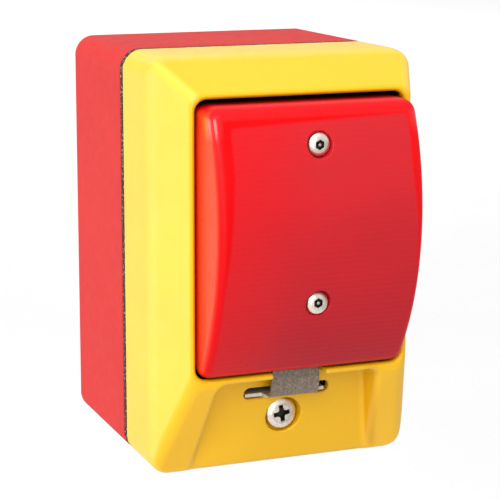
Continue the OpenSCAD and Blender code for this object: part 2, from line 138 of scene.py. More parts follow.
def cut(a, b, r=0.0):
    """a with b taken away, with the new edge rounded to radius r."""
    return both(a, -b, r)


def either(a, b, r=0.0):
    """a and b together, with the inner corner filled to radius r."""
    return -both(-a, -b, r)


def slab(t, low, high):
    """The layer from low to high."""
    return np.maximum(low - t, t - high)


def bar(x, h, d, low, high, r=0.0):
    """A box from its low corner to its high corner."""
    across = both(slab(x, low[0], high[0]), slab(h, low[1], high[1]), r)
    return both(across, slab(d, low[2], high[2]), r)


def rectangle(x, h, half_w, low, high, r):
    """A rounded rectangle, centred on x = 0, from low to high."""
    qx = np.abs(x) - half_w + r
    qh = np.abs(h - (low + high) / 2) - (high - low) / 2 + r
    outside = np.sqrt(np.maximum(qx, 0) ** 2 + np.maximum(qh, 0) ** 2)
    return outside + np.minimum(np.maximum(qx, qh), 0) - r


def disc(u, v, r):
    """A round bar of radius r, across u and v."""
    return np.sqrt(u * u + v * v) - r


def slope(u, d, u0, d0, u1, d1):
    """Distance outside the line from (u0, d0) to (u1, d1), with the solid towards smaller u."""
    length = math.hypot(u1 - u0, d1 - d0)
    return ((u - u0) * (d1 - d0) + (d - d0) * (u0 - u1)) / length


# ---- from a field to a mesh -----------------------------------------------------------------

def lines(*stops):
    """Grid lines from (start, step), (start, step), ..., end, closer together round detail."""
    out = []
    for (start, step), after in zip(stops[:-1], stops[1:]):
        end = after[0] if isinstance(after, tuple) else after
        count = max(1, round((end - start) / step))
        out.extend(start + (end - start) * i / count for i in range(count))
    out.append(stops[-1])
    return np.array(out)


def mirrored(half):
    """Grid lines for both sides of x = 0, from those of one side."""
    return np.concatenate([-half[:0:-1], half])


def gradient(field, p, step=0.02):
    """The field's slope at the points p, which points outward on its surface."""
    out = np.empty_like(p)
    for axis in range(3):
        shift = np.zeros(3)
        shift[axis] = step
        ahead, behind = p + shift, p - shift
        out[:, axis] = (field(*ahead.T) - field(*behind.T)) / (2 * step)
    return out


def crossings(value, axis):
    """Starts of the grid edges along axis on which the field changes sign."""
    near, far = [slice(None)] * 3, [slice(None)] * 3
    near[axis], far[axis] = slice(None, -1), slice(1, None)
    solid = value < 0
    found = np.argwhere(solid[tuple(near)] != solid[tuple(far)])
    keep = np.ones(len(found), bool)
    for a in range(3):
        if a != axis:
            keep &= (found[:, a] > 0) & (found[:, a] < value.shape[a] - 1)
    return found[keep]


def crossing_points(value, grids, axis, start):
    """Where the field is zero on those edges, and whether it rises along them."""
    end = start.copy()
    end[:, axis] += 1
    first, last = value[tuple(start.T)], value[tuple(end.T)]
    points = np.stack([grids[a][start[:, a]] for a in range(3)], 1)
    stretch = grids[axis][end[:, axis]] - grids[axis][start[:, axis]]
    points[:, axis] += first / (first - last) * stretch
    return points, first < last


def snapped(field, verts, reach, rounds=3):
    """Vertices drawn onto the field's zero surface, by at most reach in each round."""
    for _ in range(rounds):
        g = gradient(field, verts)
        size = np.maximum((g * g).sum(1), 0.1)
        move = -(field(*verts.T) / size)[:, None] * g
        length = np.linalg.norm(move, axis=1)
        move *= np.minimum(1, reach / np.maximum(length, 1e-9))[:, None]
        verts = verts + move
    return verts


def surface(field, xs, hs, ds):
    """Vertices and quads of the field's zero surface, by surface nets on uneven grid lines.

    Each cell that the surface passes through gets one vertex, the mean of the crossings on its
    edges, and each crossed edge gets one quad between the four cells round it.
    """
    grids = (xs, hs, ds)
    value = field(xs[:, None, None], hs[None, :, None], ds[None, None, :])
    value = np.broadcast_to(value, (len(xs), len(hs), len(ds)))
    cells = tuple(n - 1 for n in value.shape)
    total = cells[0] * cells[1] * cells[2]
    place, count = np.zeros((total, 3)), np.zeros(total)
    faces = []
    for axis in range(3):
        start = crossings(value, axis)
        points, rising = crossing_points(value, grids, axis, start)
        others = [a for a in range(3) if a != axis]
        ring = []
        for steps in ((0, 0), (1, 0), (1, 1), (0, 1)):
            cell = start.copy()
            cell[:, others] -= steps
            index = np.ravel_multi_index(tuple(cell.T), cells)
            for a in range(3):
                place[:, a] += np.bincount(index, points[:, a], total)
            count += np.bincount(index, minlength=total)
            ring.append(index)
        quads = np.stack(ring, 1)
        flip = rising if axis == 1 else ~rising
        quads[flip] = quads[flip][:, ::-1]
        faces.append(quads)
    used = count > 0
    renumber = np.cumsum(used) - 1
    coarsest = max(np.diff(grid).max() for grid in grids)
    verts = snapped(field, place[used] / count[used, None], 0.4 * coarsest)
    return verts, renumber[np.concatenate(faces)]


def outward(field, verts, step):
    """Unit normals of the field at verts."""
    normals = gradient(field, verts, step)
    return normals / np.maximum(np.linalg.norm(normals, axis=1), 1e-9)[:, None]


def to_metres(points):
    """(x, h, d) in millimetres to (x, y, z) in metres."""
    p = np.asarray(points, float)
    return np.stack([p[:, 0], -p[:, 2], p[:, 1]], 1) * MM


def mesh_object(name, verts, faces, finish, normals=None):
    """A smooth mesh object, made from (x, h, d) in millimetres."""
    mesh = bpy.data.meshes.new(name)
    mesh.from_pydata(to_metres(verts).tolist(), [], [tuple(map(int, face)) for face in faces])
    mesh.validate()
    mesh.shade_smooth()
    if normals is not None and len(normals) == len(mesh.vertices):
        mesh.normals_split_custom_set_from_vertices((to_metres(normals) / MM).tolist())
    mesh.materials.append(finish.material)
    obj = bpy.data.objects.new(name, mesh)
    bpy.context.scene.collection.objects.link(obj)
    return obj


def moulded(name, field, grids, finish, body, nodes):
    """A piece whose shape is a distance field, standing for CAD nodes."""
    verts, faces = surface(field, *grids)
    obj = mesh_object(name, verts, faces, finish, outward(field, verts, 0.05))
    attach(obj, body)
    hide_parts(*nodes)


# ---- materials ------------------------------------------------------------------------------

def grey(tone):
    """A linear grey as RGBA."""
    return (tone, tone, tone, 1)


def linear(r, g, b):
    """An sRGB colour, 0 to 255, as linear RGBA."""
    def channel(c):
        c /= 255
        return c / 12.92 if c <= 0.04045 else ((c + 0.055) / 1.055) ** 2.4
    return (channel(r), channel(g), channel(b), 1)


class Shader:
    """A Principled material with a few helpers for procedural detail."""

    def __init__(self, name, **sockets):
        self.material = bpy.data.materials.new(name)
        self.material.use_nodes = True
        self.tree = self.material.node_tree
        self.shader = self.tree.nodes["Principled BSDF"]
        self.where = self.tree.nodes.new("ShaderNodeTexCoord").outputs["Object"]
        for socket, value in sockets.items():
            self.shader.inputs[socket.replace("_", " ")].default_value = value

    def node(self, kind, **settings):
        made = self.tree.nodes.new("ShaderNode" + kind)
        for key, value in settings.items():
            setattr(made, key, value)
        return made

    def link(self, a, b):
        self.tree.links.new(a, b)

    def stretched(self, scale):
        """The point being shaded, scaled along each axis."""
        mapping = self.node("Mapping")
        mapping.inputs["Scale"].default_value = scale
        self.link(self.where, mapping.inputs["Vector"])
        return mapping.outputs["Vector"]

    def noise(self, scale, detail=3.0, rough=0.5, vector=None):
        made = self.node("TexNoise")
        made.inputs["Scale"].default_value = scale
        made.inputs["Detail"].default_value = detail
        made.inputs["Roughness"].default_value = rough
        self.link(vector or self.where, made.inputs["Vector"])
        return made.outputs["Fac"]

    def ramp(self, factor, *stops):
        """A colour ramp through (position, colour) stops."""
        made = self.node("ValToRGB")
        while len(made.color_ramp.elements) < len(stops):
            made.color_ramp.elements.new(0.5)
        for element, (position, colour) in zip(made.color_ramp.elements, stops):
            element.position = position
            element.color = colour
        self.link(factor, made.inputs["Fac"])
        return made.outputs["Color"]

    def spread(self, factor, low, high, start=0.0, end=1.0):
        """low to high as factor goes from start to end."""
        made = self.node("MapRange")
        made.inputs["From Min"].default_value = start
        made.inputs["From Max"].default_value = end
        made.inputs["To Min"].default_value = low
        made.inputs["To Max"].default_value = high
        self.link(factor, made.inputs["Value"])
        return made.outputs["Result"]

    def mix(self, factor, a, b):
        """Colour a turning into colour b as factor goes from 0 to 1."""
        made = self.node("Mix", data_type="RGBA")
        for socket, value in ((made.inputs[0], factor), (made.inputs[6], a), (made.inputs[7], b)):
            if isinstance(value, bpy.types.NodeSocket):
                self.link(value, socket)
            else:
                socket.default_value = value
        return made.outputs[2]

    def bump(self, height, distance, strength=1.0, below=None):
        made = self.node("Bump")
        made.inputs["Strength"].default_value = strength
        made.inputs["Distance"].default_value = distance
        self.link(height, made.inputs["Height"])
        if below is not None:
            self.link(below, made.inputs["Normal"])
        return made.outputs["Normal"]

    def math(self, operation, *values):
        made = self.node("Math", operation=operation)
        for slot, value in zip(made.inputs, values):
            if isinstance(value, bpy.types.NodeSocket):
                self.link(value, slot)
            else:
                slot.default_value = value
        return made.outputs["Value"]

    def position(self):
        """The x, y and z sockets of the point being shaded, in metres."""
        axes = self.node("SeparateXYZ")
        self.link(self.where, axes.inputs["Vector"])
        return axes.outputs["X"], axes.outputs["Y"], axes.outputs["Z"]

    def colour(self, socket):
        self.link(socket, self.shader.inputs["Base Color"])

    def painted(self):
        """The socket that feeds the base colour so far."""
        return self.shader.inputs["Base Color"].links[0].from_socket

    def roughness(self, socket):
        self.link(socket, self.shader.inputs["Roughness"])

    def normal(self, socket):
        self.link(socket, self.shader.inputs["Normal"])


def moulded_plastic(name, main, worn, rough=0.34, shine=0.38):
    """Injection-moulded plastic: faint flow marks, a fine grain and small handling scuffs."""
    s = Shader(name, Specular_IOR_Level=shine)
    flow = s.noise(1.0, 2, vector=s.stretched((22, 22, 40)))
    scuffs = s.noise(1.0, 6, 0.65, s.stretched((220, 220, 300)))
    base = s.ramp(flow, (0.35, main), (0.75, tuple(0.93 * c for c in main[:3]) + (1,)))
    s.colour(s.mix(s.spread(scuffs, 0, 0.22, 0.60, 0.80), base, worn))
    s.roughness(s.spread(scuffs, rough - 0.05, rough + 0.12, 0.3, 0.75))
    grain = s.bump(s.noise(2600, 2), 0.00002, 0.5)
    s.normal(s.bump(s.noise(220, 2), 0.00006, 0.35, grain))
    return s


def painted_mitre_highlight(s, out, across, z):
    """1 near both a side facet and the top facet at once, which is near an upper mitre: where the
    pale painted highlight goes.
    """
    side_lean = (HALF_W - RIM_SIDE) / (RIM_D - CREASE_D)
    top_lean = (HALF_H - RIM_TOP) / (RIM_D - CREASE_D)
    side = s.math("ADD", across, s.math("MULTIPLY", out, side_lean))
    top = s.math("ADD", z, s.math("MULTIPLY", out, top_lean))
    side = s.math("SUBTRACT", side, (HALF_W + CREASE_D * side_lean) * MM)
    top = s.math("SUBTRACT", top, (HALF_H + CREASE_D * top_lean) * MM)
    painted_highlight = s.spread(s.math("MINIMUM", side, top), 0.0, 0.5, -3.0 * MM, -0.8 * MM)
    above_crease = s.spread(out, 0.0, 1.0, (CREASE_D - 1) * MM, (CREASE_D + 2) * MM)
    return s.math("MULTIPLY", painted_highlight, above_crease)


def cover_yellow():
    """Yellow plastic, with a pale painted highlight along the upper mitres and painted shade in
    the lower panel.
    """
    s = moulded_plastic("yellow_plastic", linear(236, 180, 4), linear(244, 208, 84),
                        rough=0.38, shine=0.45)
    x, y, z = s.position()
    out, across = s.math("MULTIPLY", y, -1.0), s.math("ABSOLUTE", x)
    # A pale painted highlight along the upper mitres
    pale = s.mix(painted_mitre_highlight(s, out, across, z), s.painted(), linear(248, 208, 92))

    # The panel's floor: painted shade, a darker yellow in the recess below the rim, growing from
    # the left towards the middle
    below_rim = s.spread(z, 1.0, 0.0, -0.032, -0.028)
    height = s.math("SUBTRACT", out, s.math("MULTIPLY", z, FLOOR_SLOPE))
    level = (FLOOR_FOOT + HALF_H * FLOOR_SLOPE) * MM
    floor = s.spread(height, 1.0, 0.0, level + 0.4 * MM, level + 3.0 * MM)
    inside = s.spread(across, 1.0, 0.0, (RECESS_FOOT - 1.0) * MM, (RECESS_FOOT + 1.0) * MM)
    floor = s.math("MULTIPLY", floor, s.math("MULTIPLY", inside, below_rim))
    floor = s.math("MULTIPLY", floor, s.spread(x, 0.0, 0.7, -0.026, -0.004))
    deep = s.mix(floor, pale, linear(218, 166, 0))

    # The panel's right wall: painted shade, a darker yellow along it below the rim
    lean = (RECESS_TOP - RECESS_FOOT) / (RIM_LOW + HALF_H)
    edge = s.math("ADD", s.math("MULTIPLY", z, lean), (RECESS_FOOT + HALF_H * lean) * MM)
    wall = s.spread(s.math("SUBTRACT", x, edge), 1.0, 0.0, -0.8 * MM, 0.6 * MM)
    wall = s.math("MULTIPLY", wall, s.spread(x, 0.0, 0.55, 0.020, 0.0215))
    wall = s.math("MULTIPLY", wall, below_rim)
    clear = s.spread(height, 0.0, 1.0, level + 0.6 * MM, level + 1.6 * MM)
    s.colour(s.mix(s.math("MULTIPLY", wall, clear), deep, linear(200, 140, 0)))
    return s


def plate_face(s, x, z):
    """The clear plate's face: painted light at the upper left and along the left side, painted
    shade at the foot, with fine ribs.
    """
    patch = s.noise(1.0, 3, 0.55, s.stretched((26, 26, 50)))
    face = s.ramp(patch, (0.3, linear(198, 33, 40)), (0.7, linear(186, 35, 42)))
    # Painted light: the upper left is lit brighter
    upper = s.spread(z, 0.0, 1.0, 0.0, 0.030)
    glow = s.math("MULTIPLY", s.spread(x, 0.7, 0.0, -0.030, 0.000), upper)
    face = s.mix(glow, face, linear(206, 8, 22))
    # Painted shade: the foot darkens, most at the lower right
    low = s.spread(z, 1.0, 0.0, -0.026, 0.024)
    low = s.math("MULTIPLY", low, s.spread(x, 0.0, 1.0, -0.030, 0.000))
    face = s.mix(s.math("MULTIPLY", low, 0.38), face, linear(140, 32, 46))
    # Painted light: the left side is brighter
    face = s.mix(s.spread(x, 0.8, 0.0, -0.030, -0.008), face, linear(210, 26, 32))
    ribs = s.node("TexWave", wave_type="BANDS", bands_direction="Z", wave_profile="SIN")
    for socket, value in (("Scale", 210), ("Distortion", 0.5), ("Detail", 1)):
        ribs.inputs[socket].default_value = value
    s.link(s.where, ribs.inputs["Vector"])
    ribbed = s.math("MULTIPLY", ribs.outputs["Fac"], s.spread(low, 0.06, 0.28))
    return s.mix(ribbed, face, linear(146, 20, 34))


def plate_edges(s, x, z, edge, face):
    """The face with a painted band of light inside its edge, which narrows to the right and
    downwards, and a painted highlight on the edge's turn, stronger higher up.
    """
    # Painted light: a band of light inside the plate's edge
    narrow = s.math("ADD", s.spread(x, 0.0, 2.0 * MM, -0.028, 0.030),
                    s.spread(z, 3.0 * MM, 0.0, -0.004, 0.030))
    inner = s.spread(s.math("SUBTRACT", edge, narrow), 0.0, 1.0, -5.9 * MM, -5.1 * MM)
    band = s.mix(inner, face, linear(212, 0, 6))
    # Painted highlight on the edge's turn
    turning = s.spread(edge, 0.0, 1.0, -2.8 * MM, -2.0 * MM)
    turning = s.math("MULTIPLY", turning, s.spread(z, 0.3, 0.8, -0.01, 0.03))
    return s.mix(turning, band, linear(210, 14, 22))


def plate_walls(s, y, across, up, front_colour):
    """The front colour, turning into those of the top and foot walls, with painted shade deeper in
    the gap, and of the side walls, with a painted orange reflection of the rim.
    """
    # Painted shade: the top and foot walls darken deeper in the gap
    raised = s.spread(s.math("MULTIPLY", y, -1.0), 0.0, 1.0, RIM_D * MM, (RIM_D + 4) * MM)
    top_wall = s.mix(raised, linear(110, 0, 4), linear(206, 4, 16))
    wall = s.mix(s.spread(up, 0.0, 1.0, -1.2 * MM, -0.2 * MM), front_colour, top_wall)
    # Painted reflection: the side walls take an orange cast from the yellow rim
    return s.mix(s.spread(across, 0.0, 1.0, -1.0 * MM, -0.1 * MM), wall, linear(228, 56, 26))


def plate_gloss(s, z, edge, across, up):
    """A satin front with a polished upper corner."""
    plain = s.spread(edge, 1.0, 0.0, -3.6 * MM, -2.6 * MM)
    corner = s.spread(z, 0.0, 1.0, (PLATE_HIGH[1] - 9) * MM, (PLATE_HIGH[1] - 5) * MM)
    corner = s.math("MULTIPLY", corner, s.spread(up, 1.0, 0.0, -3.4 * MM, -2.0 * MM))
    corner = s.math("MULTIPLY", corner, s.math("SUBTRACT", 1.0, plain))
    plain = s.math("MAXIMUM", plain, s.spread(across, 0.0, 1.0, -1.4 * MM, -0.4 * MM))
    satin = s.spread(s.noise(160, 4), 0.26, 0.36, 0.3, 0.7)
    worn = s.math("MULTIPLY", s.math("SUBTRACT", 1.0, plain), 0.16)
    polish = s.math("MULTIPLY", corner, 0.30)
    s.roughness(s.math("SUBTRACT", s.math("ADD", satin, worn), polish))
    s.link(s.math("MULTIPLY", corner, 0.8), s.shader.inputs["Coat Weight"])


def clear_red():
    """Clear red plate: deep in front of its backing, with painted light on its edges and walls and
    painted shade at its foot.
    """
    s = Shader("clear_red", Specular_IOR_Level=0.12, Coat_Roughness=0.05)
    x, y, z = s.position()

    # How far outside the plate's side and its top or foot, and the larger of both
    middle = (PLATE_LOW[1] + PLATE_HIGH[1]) / 2 * MM
    half_h = (PLATE_HIGH[1] - PLATE_LOW[1]) / 2 * MM
    across = s.math("SUBTRACT", s.math("ABSOLUTE", x), PLATE_HIGH[0] * MM)
    up = s.math("SUBTRACT", s.math("ABSOLUTE", s.math("SUBTRACT", z, middle)), half_h)
    edge = s.math("SMOOTH_MAX", across, up, 2 * MM)

    front = plate_edges(s, x, z, edge, plate_face(s, x, z))
    s.colour(plate_walls(s, y, across, up, front))
    plate_gloss(s, z, edge, across, up)
    s.normal(s.bump(s.noise(900, 2), 0.00001, 0.4))
    return s


def foam():
    """Dark cellular foam with pale specks."""
    s = Shader("foam", Specular_IOR_Level=0.1)
    cells = s.noise(1700, 2, 0.7)
    specks = s.noise(1300, 3, 0.7)
    dark = s.ramp(cells, (0.35, linear(20, 18, 18)), (0.7, linear(66, 62, 56)))
    s.colour(s.mix(s.spread(specks, 0, 0.9, 0.57, 0.66), dark, linear(206, 198, 168)))
    s.roughness(s.spread(cells, 0.75, 0.95))
    s.normal(s.bump(cells, 0.0003, 0.9))
    return s


def plated(name, main, dark, rough=0.26, grain=(2600, 2600, 500)):
    """Plated steel: brushed grain and slightly uneven tone."""
    s = Shader(name, Metallic=1.0)
    tone = s.noise(700, 4, 0.6)
    brushed = s.noise(1.0, 2, 0.5, s.stretched(grain))
    s.colour(s.ramp(tone, (0.3, dark), (0.65, main)))
    s.roughness(s.spread(brushed, rough - 0.06, rough + 0.14))
    s.normal(s.bump(brushed, 0.00002, 0.5))
    return s


def recessed(name, middle, pitch, reach, rim_d):
    """Nickel plate, darkened with painted shade inside the drive sockets of one or two screws."""
    s = plated(name, linear(252, 243, 230), linear(222, 212, 197), rough=0.34)
    x, y, z = s.position()
    up = s.math("ABSOLUTE", s.math("SUBTRACT", z, middle * MM))
    up = s.math("SUBTRACT", up, pitch / 2 * MM)
    away = s.math("SQRT", s.math("ADD", s.math("MULTIPLY", x, x), s.math("MULTIPLY", up, up)))
    near = s.spread(away, 1.0, 0.0, reach * MM, (reach + 0.15) * MM)
    deep = s.spread(y, 0.0, 1.0, (0.25 - rim_d) * MM, (0.75 - rim_d) * MM)
    # Painted shade inside the drive sockets
    inside = s.math("MULTIPLY", near, deep)
    s.colour(s.mix(inside, s.painted(), linear(26, 22, 20)))
    s.link(s.math("SUBTRACT", 1.0, inside), s.shader.inputs["Metallic"])
    return s


def galvanised():
    """Dull galvanised sheet with a fine mottled grain, and a painted highlight along its lower
    edge in the cover's slot.
    """
    s = Shader("galvanised", Metallic=0.45)
    z = s.position()[2]
    spots = s.noise(1500, 4, 0.75)
    cloud = s.noise(380, 2)
    mottled = s.ramp(spots, (0.30, linear(94, 82, 72)), (0.52, linear(134, 119, 105)),
                     (0.74, linear(176, 162, 146)))
    dull = s.mix(s.spread(cloud, 0.0, 0.35), mottled, linear(112, 99, 88))
    # Painted highlight: the flange in the slot is brighter and paler
    painted_highlight = s.spread(z, 1.0, 0.0, (TAB_LOW[1] + 1.25) * MM, (TAB_LOW[1] + 1.6) * MM)
    s.colour(s.mix(painted_highlight, dull, s.mix(spots, linear(196, 190, 182), linear(250, 246, 238))))
    s.roughness(s.spread(spots, 0.62, 0.42))
    s.normal(s.bump(spots, 0.00005, 0.6))
    return s


def dark_plastic():
    """Black moulding, slightly mottled."""
    s = Shader("black_plastic", Specular_IOR_Level=0.35)
    mottle = s.noise(500, 3)
    s.colour(s.ramp(mottle, (0.3, linear(14, 14, 15)), (0.7, linear(26, 26, 27))))
    s.roughness(s.spread(mottle, 0.5, 0.7))
    s.normal(s.bump(s.noise(1800, 2), 0.00004, 0.5))
    return s


YELLOW = cover_yellow()
RED = moulded_plastic("red_plastic", linear(190, 49, 47), linear(206, 84, 80),
                      rough=0.62, shine=0.07)
CLEAR_RED = clear_red()
FOAM = foam()
CROSS_NICKEL = recessed("cross_nickel", middle=SCREW_H, pitch=0.0, reach=3.0,
                        rim_d=SCREW_HIGH[2])
HEX_NICKEL = recessed("hex_nickel", middle=sum(STEM_H) / 2, pitch=STEM_H[1] - STEM_H[0],
                      reach=1.5, rim_d=HEADS_HIGH[2])
ZINC = plated("zinc_steel", linear(214, 210, 204), linear(170, 166, 160), rough=0.3)
WIRE = plated("spring_steel", linear(150, 150, 152), linear(100, 100, 104), rough=0.3)
BRASS = plated("brass", linear(226, 186, 106), linear(186, 142, 70), rough=0.3)
COPPER = plated("contact_copper", linear(226, 150, 112), linear(176, 102, 72), rough=0.32)
TAB_STEEL = galvanised()
BLACK = dark_plastic()
IVORY = moulded_plastic("bush_plastic", linear(226, 220, 196), linear(238, 234, 220), rough=0.4)
WHITE = moulded_plastic("white_plastic", linear(228, 228, 224), linear(240, 240, 238), rough=0.4)
BLOCK_RED = moulded_plastic("block_red", linear(170, 34, 30), linear(196, 84, 78), rough=0.45)
BLOCK_GREEN = moulded_plastic("block_green", linear(36, 118, 62), linear(92, 156, 110),
                              rough=0.45)


# ---- the cover ------------------------------------------------------------------------------

POST_X, POST_R, PILOT_R, PILOT_LEN = HALF_W - 7, 3.0, 1.25, 5
POST_HEIGHTS = (WINDOW_LOW - 7.1, HALF_H - 7.5)
BOSS_R, SLEEVE_R, COUNTERBORE_R, SCREW_BORE = 7.5, 4.6, 5.5, 2.75
WINDOW_DEPTH = 3.5
PAN_T, CHEEK_T = 2.6, 2.5      # walls behind the lower panel
PIVOT_H, PIVOT_D = HALF_H + 0.3, COVER_D + 0.4
HOOK_R, HOOK_T, HOOK_X, HOOK_W = 8.0, 2.0, 22.0, 12.0
HOOK_TURN = math.radians(58)


def outline(x, h, inset=0.0, r=CORNER):
    """The enclosure seen from the front."""
    return rectangle(x, h, HALF_W - inset, -HALF_H + inset, HALF_H - inset, r)


def facets(x, h, d, inset=0.0, r=2.6):
    """The four sloped faces between the skirt and the window rim."""
    crease = CREASE_D - inset * 0.85
    side = slope(np.abs(x), d, HALF_W - inset, crease, RIM_SIDE - inset, RIM_D)
    top = slope(h, d, HALF_H - inset, crease, RIM_TOP - inset, RIM_D)
    foot = slope(-h, d, HALF_H - inset, crease, -RIM_LOW - inset, RIM_D)
    return both(both(side, top, r), foot, r)


def window(x, h):
    return rectangle(x, h, WINDOW_W, WINDOW_LOW, WINDOW_TOP, WINDOW_CORNER)


def floor_at(h):
    """Depth of the lower panel's floor."""
    return FLOOR_FOOT + (h + HALF_H) * FLOOR_SLOPE


def recess(x, h, d, grow=0.0, drop=0.0):
    """The space in front of the lower panel, narrower at its floor."""
    side = slope(np.abs(x), h, RECESS_FOOT + grow, -HALF_H, RECESS_TOP + grow, RIM_LOW)
    side = side + np.maximum(RIM_D - 1 - d, 0) * RECESS_DRAFT
    across = both(side, h - (RIM_LOW + grow), 3.0)
    depth = (floor_at(h) - drop - d) / math.hypot(1, FLOOR_SLOPE)
    return both(across, depth, 1.2)


def cover_field(x, h, d):
    """The hollow cover, its posts, screw boss and hooks, and then all its openings."""
    screw = h - SCREW_H
    outer = both(outline(x, h), facets(x, h, d), 1.6)
    outer = both(both(outer, d - RIM_D, 0.8), COVER_D - d, 0.25)
    void = both(outline(x, h, WALL, CORNER - WALL), facets(x, h, d, WALL, 3.0), 2.0)
    void = both(void, d - (RIM_D - WINDOW_DEPTH), 0.5)
    void = cut(void, recess(x, h, d, CHEEK_T, PAN_T), 0.5)
    for post_h in POST_HEIGHTS:
        post = both(disc(np.abs(x) - POST_X, h - post_h, POST_R), CHASSIS_HIGH[2] - d, 0.2)
        void = cut(void, post, 0.6)
    boss = both(disc(x, screw, BOSS_R), slab(d, SCREW_SEAT - 3, SCREW_SEAT + 2), 0.4)
    void = cut(cut(void, boss, 0.6), disc(x, screw, SLEEVE_R), 0.6)
    shell = either(cut(outer, void, 0.3), hooks(x, h, d), 0.3)
    shell = cut(shell, both(window(x, h), CHASSIS_HIGH[2] - d), 1.3)
    shell = cut(shell, recess(x, h, d), 1.5)
    slot = rectangle(x, h, SLOT_W, SLOT_LOW, SLOT_TOP, 1.7)
    shell = cut(shell, both(slot, slab(d, SCREW_SEAT - 4, TAB_HIGH[2])), 0.4)
    notch = rectangle(x, h, NOTCH_W, RIM_LOW - 2, WINDOW_LOW + 3, 0.3)
    shell = cut(shell, both(notch, TAB_HIGH[2] - NOTCH_DEPTH - d), 0.6)
    shell = cut(shell, both(disc(x, screw, COUNTERBORE_R), SCREW_SEAT - d), 0.6)
    shell = cut(shell, disc(x, screw, SCREW_BORE), 0.2)
    for post_h in POST_HEIGHTS:
        pilot = both(disc(np.abs(x) - POST_X, h - post_h, PILOT_R),
                     d - (CHASSIS_HIGH[2] + PILOT_LEN))
        shell = cut(shell, pilot, 0.1)
    return shell


def hooks(x, h, d):
    """The two curved hooks that the cover hangs and turns on."""
    u, v = h - PIVOT_H, d - PIVOT_D
    ring = np.abs(disc(u, v, HOOK_R + HOOK_T / 2)) - HOOK_T / 2
    past = -u * math.sin(HOOK_TURN) + v * math.cos(HOOK_TURN)
    arc = both(both(both(ring, v), -past, 0.3), u)
    root = both(slab(h, PIVOT_H - HOOK_R - HOOK_T, HALF_H - WALL / 2),
                slab(d, PIVOT_D, COVER_D + 8), 0.4)
    across = np.abs(np.abs(x) - HOOK_X) - HOOK_W / 2
    return both(either(arc, root), across, 0.3)


def make_cover():
    xs = mirrored(lines((0, 0.55), (15, 1.2), (20.4, 0.5), (41, 1), 41.5))
    hs = lines((-61.6, 0.5), (-26, 1.6), (45.2, 0.5), 61.6)
    ds = lines((PIVOT_D - 9.8, 0.55), (COVER_D + 2, 1.5), (SCREW_SEAT - 4, 0.5), RIM_D + 1)
    moulded("front_cover_shell", cover_field, (xs, hs, ds), YELLOW,
            "cover", ["front_cover"])


make_cover()


# ---- the back box ---------------------------------------------------------------------------

FIX_X, FIX_H, FIX_R = 28.0, 48.0, 2.25
ENTRY_D, ENTRY_R, ENTRY_RING_R = 16.5, 9.2, 12.5
INSERT_BOSS_R, INSERT_BOSS_LEN, INSERT_R = 6.0, 15.5, 3.5
CATCH_LOW = (15, HALF_H - 4.5, BOX_D - 2.8)
CATCH_HIGH = (29, HALF_H - 1, BOX_D)


def box_field(x, h, d):
    """The open box with its boss, cable entry, hook catches and wall holes."""
    outer = both(outline(x, h), -d, 1.6)
    outer = both(outer, d - BOX_D, 0.25)
    inner = both(outline(x, h, WALL, CORNER - WALL), WALL - d, 1.0)
    shell = cut(outer, inner, 0.4)
    top = INSERT_HIGH[2]
    boss = both(disc(x, h - SCREW_H, INSERT_BOSS_R), d - top, 0.4)
    rib = bar(x, h, d, (-INSERT_BOSS_R, -HALF_H + 1, 0), (INSERT_BOSS_R, SCREW_H, top), 0.4)
    boss = both(either(boss, rib), top - INSERT_BOSS_LEN - d, 0.5)
    shell = either(shell, boss, 0.8)
    ring = both(disc(x, d - ENTRY_D, ENTRY_RING_R), slab(h, -HALF_H + 1, -HALF_H + 6), 0.5)
    shell = either(shell, ring, 0.6)
    shell = either(shell, bar(np.abs(x), h, d, CATCH_LOW, CATCH_HIGH, 0.2), 0.2)
    hole = disc(np.abs(x) - FIX_X, np.abs(h) - FIX_H, FIX_R)
    shell = cut(shell, both(hole, d - 8), 0.3)
    shell = cut(shell, both(disc(x, d - ENTRY_D, ENTRY_R), h + 40), 0.5)
    return cut(shell, both(disc(x, h - SCREW_H, INSERT_R), INSERT_LOW[2] - d), 0.1)


def make_box():
    xs = mirrored(lines((0, 0.6), (14, 1.4), (25, 0.6), (31, 1.0), (33.5, 0.5), 40.6))
    hs = lines((-61.2, 0.5), (-45, 0.8), (-37, 2.0), (43, 0.8), (53, 0.5), 61.2)
    ds = lines((-0.7, 0.45), (5, 1.2), (BOX_D - 5, 0.45), BOX_D + 0.7)
    moulded("back_box_shell", box_field, (xs, hs, ds), RED,
            "housing", ["back_box"])


make_box()


# ---- gasket ---------------------------------------------------------------------------------

GASKET_INSET, GASKET_LUMP = 0.05, 0.025


def gasket_field(x, h, d):
    """The foam ring, with a slightly ragged outer edge."""
    lump = np.sin(1.9 * x + 0.7 * h) * np.sin(1.3 * h - 0.9 * x + 2.0 * d)
    lump = lump + np.sin(4.3 * h + 1.1 * x) * np.sin(3.7 * x - 2.3 * h + d)
    ragged = outline(x, h, GASKET_INSET) + GASKET_LUMP * lump
    ring = cut(ragged, outline(x, h, WALL, CORNER - WALL))
    return both(ring, slab(d, GASKET_LOW[2], GASKET_HIGH[2]), 0.05)


def make_gasket():
    xs = mirrored(lines((0, 0.8), (33, 0.5), 40.5))
    hs = lines((-61, 0.5), (-53, 0.8), (53, 0.5), 61)
    ds = lines((GASKET_LOW[2] - 0.4, 0.35), GASKET_HIGH[2] + 0.4)
    moulded("gasket_ring", gasket_field, (xs, hs, ds), FOAM,
            "housing", ["cover_gasket"])


make_gasket()


# ---- push plate -----------------------------------------------------------------------------

STEM_BOSS_R, STEM_BOSS_LEN, STEM_BORE = 5.5, 3.8, 1.85


def plate_block(x, h, d, inset=0.0, r=2.6):
    """The plate's outer form: a rounded rectangle with a curved front."""
    low, high = PLATE_LOW[1] + inset, PLATE_HIGH[1] - inset
    sides = rectangle(x, h, PLATE_HIGH[0] - inset, low, high, PLATE_CORNER - inset / 2)
    front = disc(h - CREST_H, d - (CREST_D - PLATE_R), PLATE_R - inset)
    return both(sides, front, r)


